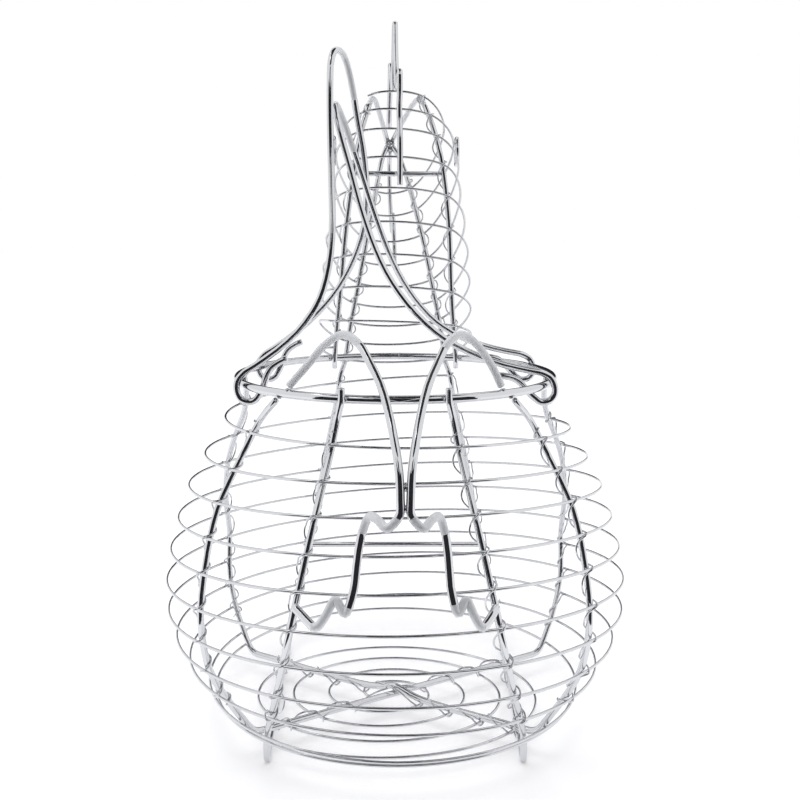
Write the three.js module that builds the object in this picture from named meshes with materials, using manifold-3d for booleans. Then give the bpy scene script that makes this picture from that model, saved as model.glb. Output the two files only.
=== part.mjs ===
// Hen-shaped egg basket bent, wound and welded from round chromed wire.
// Millimetres, +Z up, the hen faces +Y and its tail points to -Y.

import * as THREE from 'three';
import { mergeVertices } from 'three/addons/utils/BufferGeometryUtils.js';
import Module from 'manifold-3d';

// Wire diameters
const rimWire = 3.6;
const ribWire = 2.8;
const handleWire = 3.0;
const tailWire = 3.2;
const combWire = 3.0;
const wattleWire = 2.4;
const eyeWire = 2.2;
const windingWire = 1.2;

// Gap left between two wires that are welded or laid together
const weldGap = 0.3;
const cornerClearance = 0.2;

// Rim, the mouth of the egg basket
const rimRadius = 72;
const rimHeight = 150;

// Half outline of the belly as the outer winding draws it, from the rim down to the foot ring
const shoulderRadius = 77.2;
const shoulderHeight = 133;
const chestRadius = 93.5;
const chestHeight = 102.5;
const bellyRadius = 102.5;
const bellyHeight = 65;
const hipRadius = 98;
const hipHeight = 38;
const footRingRadius = 80;
const footRingHeight = 10.5;

// Ribs
const ribStubAboveRim = 3;
const longRunHeight = 4.6;
const footFlat = 0.25;
const rearRibHalfSpanAtRim = 21;
const rearRibHalfSpanAtBase = 52;
const breastRibHalfSpanAtRim = 27;
const breastRibHalfSpanAtBase = 55;
const crossRibRimRadius = 73.6;
const ribLean = 0.4;
const lowerBeakSetback = 1;

// Foot of a long rib, a narrow dip before the base run: distance in from the foot ring,
// and height between the floor (0) and the base run (1)
const footPath = [[0.2, 1.5], [0.7, 0.5], [3, 0], [5.7, 0.5], [9.6, 1], [15.6, 1]];

// Bend of a diagonal rib into its base run, as distance along the run and height above it
const crossRibBend = [[1.2, 1.5], [4.2, 0.15], [7.5, 0], [15, 0]];

// Half the length of the arch in the upper diagonal rib, and its lift half-way up the arch
const crossArch = 16.8;
const crossArchShoulder = 0.35;

// Stations of the ribs down the outline, as share of the way
const ribStations = [0.06, 0.12, 0.2, 0.34, 0.48, 0.62, 0.76, 0.87, 0.94];
const crossRibStations = [0.08, 0.14, 0.22, 0.34, 0.48, 0.62, 0.76, 0.87, 0.94];

// Angle of the diagonal ribs from the tail, as share of the way down and degrees
const rearCrossRibAngles = [[0, 41], [0.06, 48], [0.14, 52.5], [0.3, 53], [0.6, 50.5], [1, 50]];
const frontCrossRibAngles = [[0, 102], [0.3, 113], [0.65, 122.8], [1, 113.5]];

// Body winding, as turn number and distance down the outline
const bodyWindingStops = [
  [0.4, 8], [1, 21.9], [2, 38.2], [4, 67.3], [6, 94.3], [9, 131.2], [10, 147.5], [11.2, 150],
];
const forwardDip = 9;
const leftDip = 3.5;

// Base spiral
const baseTurns = 3.9;
const baseSpiralOuter = 72;
const baseSpiralInner = 9.6;
const baseSpiralSquash = 0.81;
const baseSpiralBack = 8;
const baseSpiralLeft = 3.5;
const baseSpiralStart = -125;

// Neck and head, one row per station of the winding that goes round them:
// turn number, then half span, Y and height above the rim of the back wires,
// the same of the front wires, and the half width of the winding
const neckRows = [
  { turn: 0, back: [31.2, 60.8, 6], front: [26.9, 70.9, -3.5], halfWidth: 40 },
  { turn: 2, back: [28.9, 62.3, 36.5], front: [24.2, 77, 15], halfWidth: 39.5 },
  { turn: 4, back: [27, 64.3, 69.5], front: [20.4, 82.5, 35.5], halfWidth: 37.5 },
  { turn: 6, back: [23, 67.6, 103], front: [16.2, 88.5, 58.5], halfWidth: 33.5 },
  { turn: 7, back: [19.9, 70.6, 118.3], front: [13.2, 92.5, 73], halfWidth: 33 },
  { turn: 8, back: [16.7, 74, 129], front: [10.3, 96.8, 86.5], halfWidth: 30 },
  { turn: 9, back: [12.8, 81, 138.3], front: [8, 100.8, 97], halfWidth: 25 },
];
const neckTurns = 9;
const neckWireTail = 5;
const neckFootShift = 0.4;
const sideShareToBack = 0.72;
const beakY = 116;
const beakAboveRim = 118.5;
const browPoint = [5.9, 102, 128.5];
const throatPoint = [5, 108.5, 108];

// The head looks a little to the left, from one height above the rim up to another
const headTurn = 6;
const headPivotY = 86;
const headTurnFrom = 10;
const headTurnTo = 112;

// Straight bars
const breastBarHeight = 46.5;
const breastBarOverhang = 2.5;
const breastBarSetback = 3.9;
const headBarAboveRim = 97;

// Comb and wattle, bent in the middle plane: Y with the comb's height above the rim
// and the wattle's height above the tip of the beak
const combPath = [
  [59.5, 90.5], [61.3, 112], [65, 131.5], [62.5, 141], [63.5, 150.5], [69, 148.3], [77, 144.2],
  [84, 162], [87.5, 180.5], [91.5, 166], [99, 146], [105, 155], [110.5, 161.5], [114, 151],
  [118.5, 136], [121, 126],
];
const wattlePath = [
  [115, -5.8], [119, -12.5], [121, -26.5], [119, -42.5], [113, -52.5], [108, -49.5], [104.5, -42.5],
  [100.5, -47.5], [97, -60.5], [93.5, -73],
];

// Eyes, a wire ring on each side of the head
const eyeRadius = 7.3;
const eyeY = 84;
const eyeAboveRim = 110;
const eyeSink = 0.2;

// Tail, two mirrored wires: half span, Y and height above the rim of each bend of the left one
const tailPath = [
  [43, -57.7, 3.2], [37, -60, 12], [30, -65.5, 21], [23.2, -71, 25.5], [17, -78, 22.5],
  [12.7, -84, 15.7], [8.3, -93, 7.5], [4.5, -106, -5.4], [2.3, -114, -17.5], [1.8, -117, -26.5],
  [2.1, -117.5, -32.5], [6.2, -117.5, -36.8], [9.6, -113, -35], [12.4, -108, -35.5], [14.6, -106.5, -41],
  [16, -107, -49], [17.3, -108, -61.5], [20, -109.5, -69.2], [23.3, -107, -65.2], [26.3, -108, -70.5],
  [29.4, -108.5, -74.4], [32.8, -105, -73], [36.8, -99.6, -70.2],
];
// The tail leans a little to the right
const tailLean = 4.6;
const tailLeanLoss = 0.5;

// Handles: hooks round the rim, then a bail that bends upright and narrows to a round top.
// Each bend is its distance in from the rim, its height above it and the bail's half width
const hookHalfSpan = 34;
const hookPath = [
  [17.5, 11.5], [13.8, 9.8], [10.4, 7.2], [8.4, 3.8], [7.3, 0.2], [5.9, -2.8], [3.6, -6.1],
  [0.4, -6.9], [-2.8, -5.4], [-4.3, -2], [-4.0, 1.8], [-1.2, 5.4], [4.5, 9],
];
const bailPath = [
  [14.5, 16, 34], [24, 24.5, 33], [33, 36, 31.4], [39.5, 51, 28.4], [43, 67, 24.6], [43.8, 82, 20.8],
  [43, 102, 16.2], [41.6, 118, 13.2], [40.6, 132, 10.8], [39.8, 142, 8.2], [39.4, 147.6, 4.6],
  [39.2, 149.3, 0],
];
const bailTwistFrom = 0.1;
const bailTwistTo = 0.75;
const leftBailTwist = 26;
const rightBailTwist = 8;
const leftHandleLean = -0.8;
const rightHandleLean = 21.4;

// Fineness of the bent and wound wires
const wireSides = 8;
const thinWireSides = 6;
const windingSides = 6;
const bendPerStep = 13;
const longestStep = 13;
const curveStep = 0.4;
const rimSteps = 56;
const eyeSteps = 18;
const stepsPerTurn = 24;
const neighbourSteps = 8;
const halvings = 40;
const mergeDistance = 1e-5;
const slabDepth = 10;

const deg = Math.PI / 180;
const chrome = { color: 0xc9cacd, roughness: 0.08, metalness: 1 };
const thinChrome = { color: 0xd2d3d6, roughness: 0.14, metalness: 1 };

// Centre distance of a winding from the rib that it lies on, and of a beak wire from the middle
const ribSeat = (ribWire + windingWire) / 2 + weldGap;
const beakSide = (ribWire + weldGap) / 2;

const vec = (x, y, z) => new THREE.Vector3(x, y, z);
const fromRim = ([x, y, up]) => vec(x, y, rimHeight + up);

// A path whose steps fall on given stations, so that a wire has more steps where it bends
class StationPath extends THREE.Curve {
  constructor(stations) {
    super();
    this.stations = stations;
  }

  getPoint(t, target = new THREE.Vector3()) {
    const last = this.stations.length - 1;
    const at = THREE.MathUtils.clamp(t, 0, 1) * last;
    const i = Math.min(Math.floor(at), last - 1);
    return target.lerpVectors(this.stations[i], this.stations[i + 1], at - i);
  }

  getPointAt(u, target) {
    return this.getPoint(u, target);
  }

  getTangentAt(u, target) {
    return this.getTangent(u, target);
  }
}

// Stations along a smooth curve, one each time it has bent or run far enough
function stationsAlong(curve) {
  const fine = curve.getSpacedPoints(Math.ceil(curve.getLength() / curveStep));
  const stations = [fine[0]];
  let bend = 0;
  let run = 0;
  for (let i = 1; i < fine.length - 1; i += 1) {
    const before = fine[i].clone().sub(fine[i - 1]);
    const after = fine[i + 1].clone().sub(fine[i]);
    bend += before.angleTo(after) / deg;
    run += before.length();
    if (bend > bendPerStep || run > longestStep) {
      stations.push(fine[i]);
      bend = 0;
      run = 0;
    }
  }
  stations.push(fine[fine.length - 1]);
  return stations;
}

function roundSection(diameter, sides) {
  const corners = [];
  for (let i = 0; i < sides; i += 1) {
    const angle = ((i + 0.5) / sides) * 2 * Math.PI;
    corners.push(new THREE.Vector2(Math.cos(angle), Math.sin(angle)).multiplyScalar(diameter / 2));
  }
  return new THREE.Shape(corners);
}

// One bent wire with cut ends through the points
function bentWire(points, diameter, sides = wireSides) {
  const stations = stationsAlong(new THREE.CatmullRomCurve3(points, false, 'centripetal'));
  return new THREE.ExtrudeGeometry(roundSection(diameter, sides), {
    steps: stations.length - 1,
    extrudePath: new StationPath(stations),
  });
}

// One unbroken wound wire through the points, a ring of corners at each
function woundWire(points, diameter, sides = windingSides) {
  const corners = [];
  const faces = [];
  const side = new THREE.Vector3();
  const up = new THREE.Vector3();
  points.forEach((point, i) => {
    const along = points[Math.min(i + 1, points.length - 1)].clone().sub(points[Math.max(i - 1, 0)]);
    along.normalize();
    side.crossVectors(vec(0, 0, 1), along).normalize();
    up.crossVectors(along, side);
    for (let k = 0; k < sides; k += 1) {
      const angle = ((k + 0.5) / sides) * 2 * Math.PI;
      const corner = point.clone();
      corner.addScaledVector(side, (Math.cos(angle) * diameter) / 2);
      corner.addScaledVector(up, (Math.sin(angle) * diameter) / 2);
      corners.push(corner.x, corner.y, corner.z);
    }
  });
  const last = (points.length - 1) * sides;
  for (let ring = 0; ring < last; ring += sides) {
    for (let k = 0; k < sides; k += 1) {
      const next = (k + 1) % sides;
      faces.push(ring + k, ring + next, ring + sides + next);
      faces.push(ring + k, ring + sides + next, ring + sides + k);
    }
  }
  for (let k = 1; k < sides - 1; k += 1) {
    faces.push(0, k + 1, k, last, last + k, last + k + 1);
  }
  const geometry = new THREE.BufferGeometry();
  geometry.setAttribute('position', new THREE.Float32BufferAttribute(corners, 3));
  geometry.setIndex(faces);
  return geometry;
}

// Both ends of a winding run straight for one wire diameter
function withStraightEnds(points, diameter) {
  const first = points[0].clone().sub(points[1]).setLength(diameter).add(points[0]);
  const lastPoint = points[points.length - 1];
  const last = lastPoint.clone().sub(points[points.length - 2]).setLength(diameter).add(lastPoint);
  return [first, ...points, last];
}

// Least gap between the turns of one winding, measured between points that are not neighbours
function leastSelfGap(points, diameter) {
  let least = Infinity;
  for (let i = 0; i < points.length; i += 1) {
    for (let j = i + neighbourSteps; j < points.length; j += 1) {
      least = Math.min(least, points[i].distanceTo(points[j]) - diameter);
    }
  }
  return least;
}

// Belly outline, as radius and height, from the rim down
const bellyOutline = new THREE.SplineCurve([
  new THREE.Vector2(rimRadius + rimWire / 2 + weldGap + ribWire / 2 + ribSeat, rimHeight),
  new THREE.Vector2(shoulderRadius, shoulderHeight),
  new THREE.Vector2(chestRadius, chestHeight),
  new THREE.Vector2(bellyRadius, bellyHeight),
  new THREE.Vector2(hipRadius, hipHeight),
  new THREE.Vector2(footRingRadius, footRingHeight),
]);
const outlineLength = bellyOutline.getLength();

// Rib centre line inside that outline, as radius and height
function ribOutline(u) {
  const point = bellyOutline.getPointAt(u);
  const tangent = bellyOutline.getTangentAt(u);
  return new THREE.Vector2(point.x + tangent.y * ribSeat, point.y - tangent.x * ribSeat);
}

// Value at x on a row of [x, value] stops
function atStops(stops, x) {
  let i = 0;
  while (i < stops.length - 2 && stops[i + 1][0] < x) i += 1;
  const [from, low] = stops[i];
  const [to, high] = stops[i + 1];
  return THREE.MathUtils.lerp(low, high, THREE.MathUtils.clamp((x - from) / (to - from), 0, 1));
}

// Rib point on the rear (-1) or breast (+1) side whose half span is given
function spanPoint(u, halfSpan, facing) {
  const { x: radius, y: height } = ribOutline(u);
  return vec(halfSpan, facing * Math.sqrt(radius * radius - halfSpan * halfSpan), height);
}

// Fore-and-aft rib on the right side: rear rib, foot, base run, foot, breast rib, front of neck, beak
function longRibPoints() {
  const topRadius = rimRadius + rimWire / 2 + weldGap + ribWire / 2;
  const rearSpan = (u) => THREE.MathUtils.lerp(rearRibHalfSpanAtRim, rearRibHalfSpanAtBase, u);
  const breastSpan = (u) => THREE.MathUtils.lerp(breastRibHalfSpanAtRim, breastRibHalfSpanAtBase, u);
  const rearTop = -Math.sqrt(topRadius ** 2 - rearSpan(0) ** 2);
  const points = [vec(rearSpan(0), rearTop, rimHeight + rimWire / 2 + ribStubAboveRim)];
  points.push(vec(rearSpan(0), rearTop, rimHeight));
  ribStations.forEach((u) => points.push(spanPoint(u, rearSpan(u), -1)));
  points.push(...footPoints(rearRibHalfSpanAtBase, -1));
  points.push(...footPoints(breastRibHalfSpanAtBase, 1).reverse());
  [...ribStations].reverse().forEach((u) => points.push(spanPoint(u, breastSpan(u), 1)));
  neckRows.forEach(({ front }) => points.push(fromRim(front)));
  points.push(fromRim(throatPoint));
  points.push(fromRim([beakSide, beakY - lowerBeakSetback, beakAboveRim - ribWire - weldGap]));
  return points;
}

// Foot: the rib comes down on the inside of the foot ring, dips and turns into the base run
function footPoints(halfSpan, facing) {
  const bottom = ribWire / 2 - footFlat;
  const footRadius = footRingRadius - ribSeat - 2 * cornerClearance;
  const y = Math.sqrt(footRadius ** 2 - halfSpan ** 2);
  const dip = footPath.map(([inward, share]) => (
    vec(halfSpan, facing * (y - inward), THREE.MathUtils.lerp(bottom, longRunHeight, share))
  ));
  return [vec(halfSpan, facing * y, footRingHeight), ...dip];
}

// Diagonal rib: down the rear side at the left, across the base, up the front side at the right
function crossRibPoints(lift) {
  const runHeight = longRunHeight + 2 * ribSeat;
  const topZ = rimHeight - rimWire / 2 - weldGap - ribLean;
  const side = (u, angles, sideSign) => {
    const angle = atStops(angles, u) * deg;
    const outline = ribOutline(u);
    return vec(sideSign * outline.x * Math.sin(angle), -outline.x * Math.cos(angle), outline.y);
  };
  const top = (angles, sideSign) => {
    const angle = angles[0][1] * deg;
    const x = sideSign * crossRibRimRadius * Math.sin(angle);
    return vec(x, -crossRibRimRadius * Math.cos(angle), topZ);
  };
  const rearEnd = side(1, rearCrossRibAngles, -1);
  const frontEnd = side(1, frontCrossRibAngles, 1);
  const length = rearEnd.distanceTo(frontEnd);
  const onBase = (distance, height) => {
    const share = (distance < 0 ? length + distance : distance) / length;
    return rearEnd.clone().lerp(frontEnd, share).setZ(height);
  };
  const middle = (length * -rearEnd.x) / (frontEnd.x - rearEnd.x);
  const arch = [[-1, 0], [-0.5, crossArchShoulder], [0, 1], [0.5, crossArchShoulder], [1, 0]];
  return [
    top(rearCrossRibAngles, -1),
    ...crossRibStations.map((u) => side(u, rearCrossRibAngles, -1)),
    ...crossRibBend.map(([distance, up]) => onBase(distance, runHeight + up)),
    ...arch.map(([share, up]) => onBase(middle + share * crossArch, runHeight + up * lift)),
    ...[...crossRibBend].reverse().map(([distance, up]) => onBase(-distance, runHeight + up)),
    ...[...crossRibStations].reverse().map((u) => side(u, frontCrossRibAngles, 1)),
    top(frontCrossRibAngles, 1),
  ];
}

// Back wire of the neck on the right side: inside the rim, up the back, over the crown, to the beak
function neckRibPoints() {
  const innerRadius = rimRadius - rimWire / 2 - weldGap - ribWire / 2;
  const footSpan = neckRows[0].back[0] + neckFootShift;
  const footY = Math.sqrt(innerRadius ** 2 - footSpan ** 2);
  const points = [vec(footSpan, footY, rimHeight - neckWireTail), vec(footSpan, footY, rimHeight)];
  neckRows.forEach(({ back }) => points.push(fromRim(back)));
  points.push(fromRim(browPoint));
  points.push(fromRim([beakSide, beakY, beakAboveRim]));
  return points;
}

// The neck's slight twist about an upright axis, which grows up to the head
function twistAt(height) {
  return headTurn * deg * THREE.MathUtils.smoothstep(height - rimHeight, headTurnFrom, headTurnTo);
}

function twisted(point) {
  const pivot = vec(0, headPivotY, 0);
  return point.clone().sub(pivot).applyAxisAngle(vec(0, 0, 1), twistAt(point.z)).add(pivot);
}

// Body winding: counter-clockwise from above and downwards, on the outside of the ribs
function bodyWindingPoints() {
  const firstTurn = bodyWindingStops[0][0];
  const turns = bodyWindingStops[bodyWindingStops.length - 1][0] - firstTurn;
  const chordOutset = 1 / Math.cos(Math.PI / stepsPerTurn);
  const points = [];
  for (let i = 0; i <= Math.round(turns * stepsPerTurn); i += 1) {
    const turn = firstTurn + i / stepsPerTurn;
    const angle = turn * 2 * Math.PI - Math.PI / 2;
    const along = atStops(bodyWindingStops, turn) / outlineLength;
    const lean = forwardDip * Math.sin(angle) - leftDip * Math.cos(angle);
    const dip = (lean / outlineLength) * Math.sin(Math.PI * along);
    const { x, y: height } = bellyOutline.getPointAt(THREE.MathUtils.clamp(along + dip, 0, 1));
    const radius = x * chordOutset;
    points.push(vec(radius * Math.cos(angle), radius * Math.sin(angle), height));
  }
  return withStraightEnds(points, windingWire);
}

// Base spiral, flat between the long base runs and the diagonal ones
function baseSpiralPoints() {
  const steps = Math.round(baseTurns * stepsPerTurn);
  const height = longRunHeight + ribSeat;
  const points = [];
  for (let i = 0; i <= steps; i += 1) {
    const angle = baseSpiralStart * deg + (i / stepsPerTurn) * 2 * Math.PI;
    const radius = THREE.MathUtils.lerp(baseSpiralOuter, baseSpiralInner, i / steps);
    const y = radius * baseSpiralSquash * Math.sin(angle) - baseSpiralBack;
    points.push(vec(radius * Math.cos(angle) - baseSpiralLeft, y, height));
  }
  return withStraightEnds(points, windingWire);
}

const backLine = new THREE.CatmullRomCurve3(neckRibPoints(), false, 'centripetal');
const frontLine = new THREE.CatmullRomCurve3(longRibPoints(), false, 'centripetal');
const sideLine = new THREE.CatmullRomCurve3(neckRows.map(({ back, front, halfWidth }) => (
  fromRim(front).lerp(fromRim(back), sideShareToBack).setX(halfWidth)
)));

// Share of the neck's rows that a turn number stands for
function rowShare(turn) {
  const last = neckRows.length - 1;
  let row = 0;
  while (row < last - 1 && neckRows[row + 1].turn < turn) row += 1;
  const span = neckRows[row + 1].turn - neckRows[row].turn;
  return THREE.MathUtils.clamp((row + (turn - neckRows[row].turn) / span) / last, 0, 1);
}

// Share of a whole rib's line that a share of the neck's rows stands for
function shareOnRib(line, share) {
  const { points } = line;
  const { back, front } = neckRows[0];
  const first = points.findIndex(({ z }, i) => (
    (z === rimHeight + back[2] || z === rimHeight + front[2]) && points[i + 1].z > z && points[i].y > 0
  ));
  return (first + share * (neckRows.length - 1)) / (points.length - 1);
}

// Seat of the winding at the outer corner of a wire that runs upwards
function cornerSeat(line, share, facing) {
  const at = shareOnRib(line, share);
  const tangent = line.getTangent(at);
  const outward = vec(0, facing * tangent.z, -facing * tangent.y).normalize();
  return line.getPoint(at).add(outward.add(vec(1, 0, 0)).setLength(ribSeat + cornerClearance));
}

// Closed loop round the neck at a turn number, through the outside of its four wires
function neckLoop(turn) {
  const share = rowShare(turn);
  const rear = cornerSeat(backLine, share, -1);
  const fore = cornerSeat(frontLine, share, 1);
  const side = sideLine.getPoint(share);
  const mirrored = (point) => vec(-point.x, point.y, point.z);
  return new THREE.CatmullRomCurve3(
    [mirrored(rear), rear, side, fore, mirrored(fore), mirrored(side)],
    true,
    'centripetal',
  );
}

// Neck and head winding, counter-clockwise from above, from the crown down to the rim
function neckWindingPoints() {
  const steps = Math.round(neckTurns * stepsPerTurn);
  const points = [];
  for (let i = 0; i <= steps; i += 1) {
    const turn = neckTurns - i / stepsPerTurn;
    points.push(twisted(neckLoop(turn).getPoint((i / stepsPerTurn) % 1)));
  }
  return withStraightEnds(points, windingWire);
}

// One wire makes hook, leg, round top, leg and hook
function handlePoints(twist) {
  const leg = hookPath.map(([inward, up]) => vec(inward, hookHalfSpan, up));
  const full = bailPath[bailPath.length - 1][1];
  bailPath.forEach(([inward, up, halfWidth]) => {
    const share = THREE.MathUtils.smoothstep(up / full, bailTwistFrom, bailTwistTo);
    const angle = twist * deg * share;
    leg.push(vec(inward + halfWidth * Math.sin(angle), halfWidth * Math.cos(angle), up));
  });
  const other = leg.slice(0, -1).map((point) => vec(point.x, -point.y, point.z));
  other.forEach((point, i) => {
    if (i < hookPath.length) return;
    const [inward] = bailPath[i - hookPath.length];
    point.x = 2 * inward - point.x;
  });
  return [...leg, ...other.reverse()];
}

const mirroredPoints = (points) => points.map(({ x, y, z }) => vec(-x, y, z));

const wasm = await Module();
wasm.setup();

function asSolid(geometry) {
  const bare = geometry.clone();
  bare.deleteAttribute('normal');
  bare.deleteAttribute('uv');
  const merged = mergeVertices(bare, mergeDistance);
  return new wasm.Manifold(new wasm.Mesh({
    numProp: 3,
    vertProperties: new Float32Array(merged.attributes.position.array),
    triVerts: new Uint32Array(merged.index.array),
  }));
}

function asGeometry(solid) {
  const { vertProperties, triVerts } = solid.getMesh();
  const geometry = new THREE.BufferGeometry();
  geometry.setAttribute('position', new THREE.BufferAttribute(vertProperties, 3));
  geometry.setIndex(new THREE.BufferAttribute(triVerts, 1));
  return geometry;
}

// The feet are pressed flat where they stand
function standingFlat(geometry) {
  const width = 4 * footRingRadius;
  const slab = new THREE.BoxGeometry(width, width, slabDepth);
  slab.translate(0, 0, -slabDepth / 2);
  return asGeometry(asSolid(geometry).subtract(asSolid(slab)));
}

const basket = new THREE.Group();

function add(name, geometry, finish = chrome, parent = basket) {
  const mesh = new THREE.Mesh(geometry, new THREE.MeshStandardMaterial(finish));
  mesh.name = name;
  parent.add(mesh);
  return mesh;
}

// A wire and its mirror image, each then shaped by hand a little
function addPair(name, points, diameter, sides, shaped) {
  add(`right_${name}`, shaped(points, diameter, sides));
  add(`left_${name}`, shaped(mirroredPoints(points), diameter, sides));
}

function addRim() {
  const rim = add('rim_ring', new THREE.TorusGeometry(rimRadius, rimWire / 2, wireSides, rimSteps));
  rim.position.z = rimHeight;
}

function addRibs() {
  addPair('long_rib', longRibPoints(), ribWire, thinWireSides, (points, diameter, sides) => (
    standingFlat(bentWire(points.map(twisted), diameter, sides))
  ));
  addPair('neck_rib', neckRibPoints(), ribWire, thinWireSides, (points, diameter, sides) => (
    bentWire(points.map(twisted), diameter, sides)
  ));
  add('lower_cross_rib', bentWire(crossRibPoints(0), ribWire, thinWireSides));
  const upper = mirroredPoints(crossRibPoints(ribWire + weldGap));
  add('upper_cross_rib', bentWire(upper, ribWire, thinWireSides));
}

function straightBar(name, halfLength, y, z) {
  const shape = new THREE.CylinderGeometry(ribWire / 2, ribWire / 2, 2 * halfLength, wireSides);
  const bar = add(name, shape);
  bar.rotation.z = Math.PI / 2;
  bar.position.set(0, y, z);
  return bar;
}

// Share from 0 to 1 up to which a test holds
function shareUpTo(holds) {
  let low = 0;
  let high = 1;
  for (let i = 0; i < halvings; i += 1) {
    const middle = (low + high) / 2;
    if (holds(middle)) low = middle;
    else high = middle;
  }
  return low;
}

function addBreastBar() {
  const share = shareUpTo((u) => ribOutline(u).y > breastBarHeight);
  const span = THREE.MathUtils.lerp(breastRibHalfSpanAtRim, breastRibHalfSpanAtBase, share);
  const rib = spanPoint(share, span, 1);
  straightBar('breast_bar', rib.x + breastBarOverhang, rib.y - breastBarSetback, breastBarHeight);
}

function addHeadBar() {
  const height = rimHeight + headBarAboveRim;
  const onRib = (share) => backLine.getPoint(shareOnRib(backLine, share));
  const back = onRib(shareUpTo((share) => onRib(share).z < height));
  const bar = straightBar('head_bar', back.x + ribWire / 2, back.y + ribWire + weldGap, height);
  bar.position.copy(twisted(bar.position));
  bar.rotation.z += twistAt(height);
}

function addWindings() {
  const windings = {
    body_winding: bodyWindingPoints(),
    base_spiral: baseSpiralPoints(),
    neck_winding: neckWindingPoints(),
  };
  Object.entries(windings).forEach(([name, points]) => {
    add(name, woundWire(points, windingWire), thinChrome);
    const least = leastSelfGap(points, windingWire);
    console.log(`${name}: least gap to itself ${least.toFixed(2)} mm`);
  });
}

function addComb() {
  const inPlane = (path, from) => path.map(([y, up]) => twisted(fromRim([0, y, from + up])));
  add('comb', bentWire(inPlane(combPath, 0), combWire, thinWireSides));
  add('wattle', bentWire(inPlane(wattlePath, beakAboveRim), wattleWire, thinWireSides));
}

function addEyes() {
  const height = rimHeight + eyeAboveRim;
  const side = sideLine.getPoint(shareUpTo((share) => sideLine.getPoint(share).z < height));
  const out = side.x + windingWire / 2 + eyeWire / 2 - eyeSink;
  [['right_eye', 1], ['left_eye', -1]].forEach(([name, sideSign]) => {
    const eye = add(name, new THREE.TorusGeometry(eyeRadius, eyeWire / 2, thinWireSides, eyeSteps));
    eye.rotation.y = Math.PI / 2;
    eye.position.copy(twisted(vec(sideSign * out, eyeY, height)));
  });
}

function addTail() {
  const last = tailPath.length - 1;
  const points = tailPath.map(fromRim);
  addPair('tail_wire', points, tailWire, wireSides, (bends, diameter, sides) => {
    const leaning = bends.map(({ x, y, z }, i) => {
      const along = i / last;
      const bow = Math.sqrt(Math.abs(Math.sin(Math.PI * along)));
      return vec(x + tailLean * bow * (1 - tailLeanLoss * along), y, z);
    });
    return bentWire(leaning, diameter, sides);
  });
}

function addHandle(name, sideSign, twist, lean) {
  const hinge = new THREE.Group();
  hinge.position.set(sideSign * Math.sqrt(rimRadius ** 2 - hookHalfSpan ** 2), 0, rimHeight);
  hinge.rotation.z = sideSign > 0 ? Math.PI : 0;
  basket.add(hinge);
  const handle = add(name, bentWire(handlePoints(twist), handleWire), chrome, hinge);
  handle.rotation.y = lean * deg;
}

addRim();
addRibs();
addBreastBar();
addHeadBar();
addWindings();
addComb();
addEyes();
addTail();
addHandle('left_handle', -1, leftBailTwist, leftHandleLean);
addHandle('right_handle', 1, rightBailTwist, rightHandleLean);

// The origin lies on the ground under the middle of the basket's box
basket.updateMatrixWorld(true);
const box = new THREE.Box3().setFromObject(basket, true);
const middle = box.getCenter(new THREE.Vector3());
const hen = new THREE.Group();
basket.position.set(-middle.x, -middle.y, -box.min.z);
hen.add(basket);
hen.updateMatrixWorld(true);

export default hen;
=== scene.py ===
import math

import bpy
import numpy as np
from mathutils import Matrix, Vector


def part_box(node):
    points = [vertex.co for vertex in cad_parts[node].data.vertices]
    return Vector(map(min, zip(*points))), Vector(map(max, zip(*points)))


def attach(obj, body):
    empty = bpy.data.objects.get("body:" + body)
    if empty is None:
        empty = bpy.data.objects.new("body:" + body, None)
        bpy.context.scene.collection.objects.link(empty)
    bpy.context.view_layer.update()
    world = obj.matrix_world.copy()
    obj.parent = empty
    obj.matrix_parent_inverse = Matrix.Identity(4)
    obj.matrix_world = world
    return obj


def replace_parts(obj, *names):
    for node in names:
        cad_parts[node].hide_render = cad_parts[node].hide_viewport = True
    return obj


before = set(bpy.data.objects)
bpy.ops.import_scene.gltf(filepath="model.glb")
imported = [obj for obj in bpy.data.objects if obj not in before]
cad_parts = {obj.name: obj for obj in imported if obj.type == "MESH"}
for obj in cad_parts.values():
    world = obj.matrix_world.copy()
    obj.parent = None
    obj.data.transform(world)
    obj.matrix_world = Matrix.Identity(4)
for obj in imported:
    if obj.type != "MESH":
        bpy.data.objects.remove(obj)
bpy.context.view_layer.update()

# A hen-shaped egg basket of bent, wound and laced chromed wire.
# The hen and the camera's place are in millimetres, and become metres where they are made.
# The floor, the lamp and the cloth round the hen are in metres.
# The hen faces +Y, +Z is up and x = 0 is its middle plane.

# Wire diameters
RIM_WIRE = 3.6
RIB_WIRE = 2.8
HANDLE_WIRE = 3.0
TAIL_WIRE = 3.2
COMB_WIRE = 3.0
WATTLE_WIRE = 2.4
EYE_WIRE = 2.2
WINDING_WIRE = 1.2
LACING_WIRE = 0.8

# Gap between wires that touch, and the extra room at the corners of the neck
WELD_GAP = 0.3
CORNER_CLEARANCE = 0.2
RIB_SEAT = (RIB_WIRE + WINDING_WIRE) / 2 + WELD_GAP

# Rim
RIM_RADIUS = 72.0
RIM_HEIGHT = 150.0

# Half outline of the belly from the rim down, as radius and height
BELLY = [
    (RIM_RADIUS + RIM_WIRE / 2 + WELD_GAP + RIB_WIRE / 2 + RIB_SEAT, RIM_HEIGHT),
    (77.2, 133), (93.5, 102.5), (102.5, 65), (98, 38), (80, 10.5),
]
FOOT_RING_RADIUS, FOOT_RING_HEIGHT = BELLY[-1]

# Long ribs: half spans of the rear and the breast side, at the rim and at the base
REAR_SPANS = (21, 52)
BREAST_SPANS = (27, 55)
STUB_ABOVE_RIM = 3.0
BASE_RUN_HEIGHT = 4.6

# Shares of the way down the outline where a long rib has a point
LONG_RIB_STATIONS = [0.06, 0.12, 0.2, 0.34, 0.48, 0.62, 0.76, 0.87, 0.94]

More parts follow.
